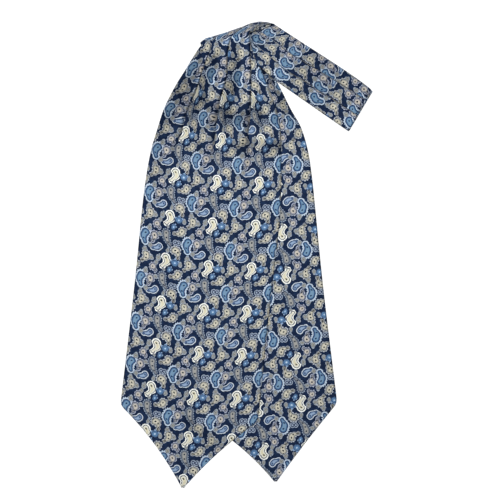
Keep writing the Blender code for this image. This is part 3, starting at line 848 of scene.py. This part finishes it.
# Front blade.
# The other wide pointed end, of the same silk and edged in the same way. It is rolled over the neckband, its
# three pleats lap from left to right, and it opens out flat over the back blade and the surface.
FRONT_STATIONS = [
    Station(-50.0, 229.5, -38.5, -17.0, 2.3, 3.4, 246.0, 0, 1.2, 1.5, 1.7, 0.1, 1.00, 4.2, 36.3, 24.2, 34.1),
    Station(-54.2, 224.0, -39.8, -20.4, 3.2, 4.5, 232.0, 0, 1.8, 2.2, 2.4, 0.2, 1.00, 3.2, 34.1, 22.7, 34.1),
    Station(-61.0, 213.5, -45.0, -21.7, 4.1, 10.5, 214.0, -1, 3.1, 3.4, 3.8, 0.5, 1.00, 1.6, 28.5, 20.0, 26.5),
    Station(-67.5, 203.0, -49.3, -21.9, 4.3, 18.7, 197.5, -2, 3.9, 3.9, 4.2, 0.8, 1.00, 0.6, 24.5, 18.3, 21.0),
    Station(-75.9, 190.0, -54.0, -25.5, 4.4, 24.0, 184.0, -3, 4.8, 4.4, 4.7, 1.2, 0.92, 0.1, 17.5, 15.0, 18.0),
    Station(-84.2, 175.0, -60.0, -30.0, 3.9, 29.5, 169.5, -3.8, 5.5, 4.9, 5.0, 1.6, 0.75, 0, 11.5, 10.4, 15.1),
    Station(-91.9, 158.5, -66.5, -32.0, 3.9, 34.7, 153.0, -4, 4.9, 4.0, 4.3, 1.4, 0.45, 0.0, 9.3, 8.5, 8.5),
    Station(-97.9, 139.7, -68.8, -32.5, 3.9, 37.7, 133.0, -3.8, 2.6, 2.0, 2.2, 1.2, 0.20, 0.0, 5.8, 5.0, 2.6),
    Station(-104.3, 118.8, -75.4, -33.6, 6.1, 38.3, 109.5, -3.5, 1.4, 1.0, 1.2, 0.6, 0.05, 0.0, 3.1, 2.4, 1.2),
    Station(-109.8, 91.3, -81.4, -36.3, 8.0, 38.4, 80.3, -3.3, 0.6, 0.4, 0.5, 0.2, 0.00, 0.0, 1.0, 0.8, 0.8),
    Station(-115.0, 51.7, -88.5, -40.9, 6.7, 36.6, 36.5, -3, 0.1, 0.1, 0.1, 0.0, 0.00, 0.0, 0, 0, 0),
    Station(-123.8, -36.0, -97.6, -50.7, -3.8, 26.3, -52.0, -3, 0.0, 0.0, 0.0, 0.0, 0.00, 0.0, 0, 0, 0),
    Station(-139.0, -165.0, -112.5, -65.0, -17.5, 12.7, -183.0, -3, 0.0, 0.0, 0.0, 0.0, 0.00, 0.0, 0, 0, 0),
]
FRONT_TIP = np.array([-70.0, -256.0])
FRONT_TIP_INSETS = (4.6, 3.4)
FRONT_STEPS = (5, 6, 6, 6, 6, 6, 5, 5, 5, 5, 8, 10)
FRONT_COLUMNS = (11, 12, 12, 9)

# Place of one cream paisley, from the blade's left corner, how far the rows of the print bow, and how the
# print is stretched towards the neck
FRONT_CREAM = (31.0, 26.3)
FRONT_BOW = 8.0
NECK_STRETCH = 0.12
STRETCH_FROM = 345.0
FRONT_ROLL = [
    Roll(-90, 0.0, 0.765, 9.0),
    Roll(-90, 0.0, 0.880, 3.6),
    Roll(-55, 0.0, 0.945, 3.6),
    Roll(-20, 0.0, 0.985, 3.6),
    Roll(15, 0.0, 0.980, 3.6),
    Roll(50, 0.0, 0.935, 3.6),
    Roll(75, 0.0, 0.850, 3.6),
]

# How far outside the back blade and the neckband the cloth is already at their height, over what run it rises
# to them, and how softly the two heights meet
EDGE_MARGIN = 9.0
BACK_RAMP = 18.0
BAND_RAMP = 80.0
SOFT_JOIN = 2.0

# The cloth follows a pleat beneath as well once its lap has opened, and the fold sinks at its left end
HOLLOW_SHARE = 0.85
HOLLOW_FROM = 0.7
HOLLOW_WHOLE = 0.2
LEFT_SINK = 2.0
LEFT_SINK_SHARE = 0.15


def support(x, y):
    """Height on which the front blade lies: the surface, the back blade or the neckband."""
    over_back = ease((inside_back(x, y) + EDGE_MARGIN + BACK_RAMP) / BACK_RAMP)
    on_back = (back_top(x, y) + GAP) * over_back
    along = (NECK_LOW - END_LOW) / BAND_LENGTH
    across = (x - NECK_LOW[0]) * along[1] - (y - NECK_LOW[1]) * along[0]
    on_band = (STACK_TOP + GAP) * ease((across + EDGE_MARGIN + BAND_RAMP) / BAND_RAMP)
    soft = min(SOFT_JOIN, on_back, on_band)
    blend = max(soft - abs(on_back - on_band), 0.0) ** 2 / (4.0 * soft) if soft > 0.0 else 0.0
    return max(on_back, on_band) + blend


# Soft creases across the pleats, each a ridge between two points that spreads to both sides
Crease = namedtuple("Crease", "x0 y0 x1 y1 spread rise")
FRONT_CREASES = [
    Crease(-88.0, 178.0, -46.0, 185.0, 9.0, 2.4),
    Crease(-40.0, 172.0, -8.0, 158.0, 9.0, 1.8),
    Crease(-8.0, 127.0, 34.0, 128.0, 10.0, 1.8),
    Crease(-60.0, 128.0, -30.0, 120.0, 12.0, 0.8),
    Crease(14.0, 168.0, 24.0, 150.0, 7.0, 1.2),
]


def creased(x, y):
    """Height that the creases add at a point of the front blade."""
    rise = 0.0
    for crease in FRONT_CREASES:
        start = np.array([crease.x0, crease.y0])
        run = np.array([crease.x1, crease.y1]) - start
        along = np.clip((np.array([x, y]) - start) @ run / (run @ run), 0.0, 1.0)
        away = np.linalg.norm(np.array([x, y]) - start - run * along)
        rise += crease.rise * math.exp(-((away / crease.spread) ** 2))
    return rise


front_rows = between(FRONT_STATIONS, FRONT_STEPS)
front_corner = len(front_rows) - 1
front_rows += tip_rows(front_rows[-1], FRONT_TIP, FRONT_TIP_INSETS, TIP_STEPS)
front_points = [across_blade(row, FRONT_COLUMNS) for row in front_rows]
front_tops = []
front_unders = []
for row, points in zip(front_rows, front_points):
    hollow = HOLLOW_SHARE * ease((HOLLOW_FROM - row.lap) / (HOLLOW_FROM - HOLLOW_WHOLE))
    lift = max(row.lift, 0.0)
    top = []
    under = []
    for point in points:
        y_top = place(row, point.x_top)
        y_under = place(row, point.x_under)
        raised = lift + creased(point.x_under, y_under)
        top.append((point.x_top, y_top, support(point.x_top, y_top) + raised + CLOTH_WALL + point.crest))
        under.append((point.x_under, y_under, support(point.x_under, y_under) + raised + hollow * point.crest))
    front_tops.append(top)
    front_unders.append(under)
front_places = cloth_places(front_rows, front_points, front_corner, FRONT_BOW)
front_neck = front_points[0]
neck_highs = [z for x, y, z in front_tops[0]]
neck_shares = [i / len(front_neck) for i in range(len(front_neck))]
neck_lows = [UPPER_STRAND - LEFT_SINK * (1.0 - ease(share / LEFT_SINK_SHARE)) for share in neck_shares]
roll_outer, roll_inner = roll(FRONT_ROLL, front_neck, neck_highs, neck_lows, CLOTH_WALL, 1)
front_places = rolled_places(roll_outer, front_tops[0], front_places[0]) + front_places
front_places = [[((u - FRONT_CREAM[0]) / REPEAT,
                  (v - NECK_STRETCH * max(v - STRETCH_FROM, 0.0) - FRONT_CREAM[1]) / REPEAT)
                 for u, v in line] for line in front_places]
front_blade = cloth("front_blade_silk", roll_outer + front_tops, roll_inner + front_unders, front_places)
front_blade.data.materials.append(silk)
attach(front_blade, "root")
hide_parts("front_blade")

# Surface, light and camera.
# A plain white surface, lit by a softbox beyond the neck and one overhead, with the camera straight over the
# cravat. Lamps and surface are in metres, and the surface lies just beneath the cloth.
FLOOR_SIZE = 8.0
FLOOR_DROP = 0.0002
FLOOR_COLOUR = (0.25, 0.25, 0.25, 1.0)
FLOOR_GLOW = 0.92
FLOOR_ROUGHNESS = 0.9
WHITE = (1.0, 1.0, 1.0, 1.0)
ROOM_LIGHT = 0.10
bpy.ops.mesh.primitive_plane_add(size=FLOOR_SIZE, location=(0.0, 0.0, -FLOOR_DROP))
surface = bpy.context.active_object
surface.name = "white_surface"
paper = bpy.data.materials.new("white_surface")
paper.use_nodes = True
paper_shader = paper.node_tree.nodes["Principled BSDF"]
paper_shader.inputs["Base Color"].default_value = FLOOR_COLOUR
paper_shader.inputs["Emission Color"].default_value = WHITE
paper_shader.inputs["Emission Strength"].default_value = FLOOR_GLOW
paper_shader.inputs["Roughness"].default_value = FLOOR_ROUGHNESS
surface.data.materials.append(paper)
bpy.ops.object.select_all(action="DESELECT")

world = bpy.data.worlds.new("soft_room")
bpy.context.scene.world = world
world.use_nodes = True
room = world.node_tree.nodes["Background"]
room.inputs["Color"].default_value = WHITE
room.inputs["Strength"].default_value = ROOM_LIGHT

Lamp = namedtuple("Lamp", "name x y z size power")
LAMPS = [
    Lamp("low_softbox", -0.7, 3.2, 2.0, 1.8, 36.0),
    Lamp("high_softbox", -0.25, 0.3, 3.4, 1.2, 58.0),
]
LAMP_COLOUR = (0.95, 0.98, 1.0)
for lamp in LAMPS:
    bpy.ops.object.light_add(type="AREA", location=(lamp.x, lamp.y, lamp.z))
    light = bpy.context.active_object
    light.name = lamp.name
    light.data.size = lamp.size
    light.data.energy = lamp.power
    light.data.color = LAMP_COLOUR
    light.rotation_euler = (-light.location).to_track_quat("-Z", "Y").to_euler()
    bpy.ops.object.select_all(action="DESELECT")

# The lens is long and the camera high, so that the view is nearly flat
LENS = 200.0
SENSOR = 36.0
VIEW_WIDTH = 550.0
VIEW_CENTRE = (3.85, 5.5)
camera_height = VIEW_WIDTH * LENS / SENSOR
camera_place = (VIEW_CENTRE[0] * MM, VIEW_CENTRE[1] * MM, camera_height * MM)
bpy.ops.object.camera_add(location=camera_place, rotation=(0, 0, 0))
camera = bpy.context.active_object
camera.data.lens = LENS
camera.data.sensor_width = SENSOR
bpy.context.scene.camera = camera
bpy.context.scene.view_settings.view_transform = "Standard"
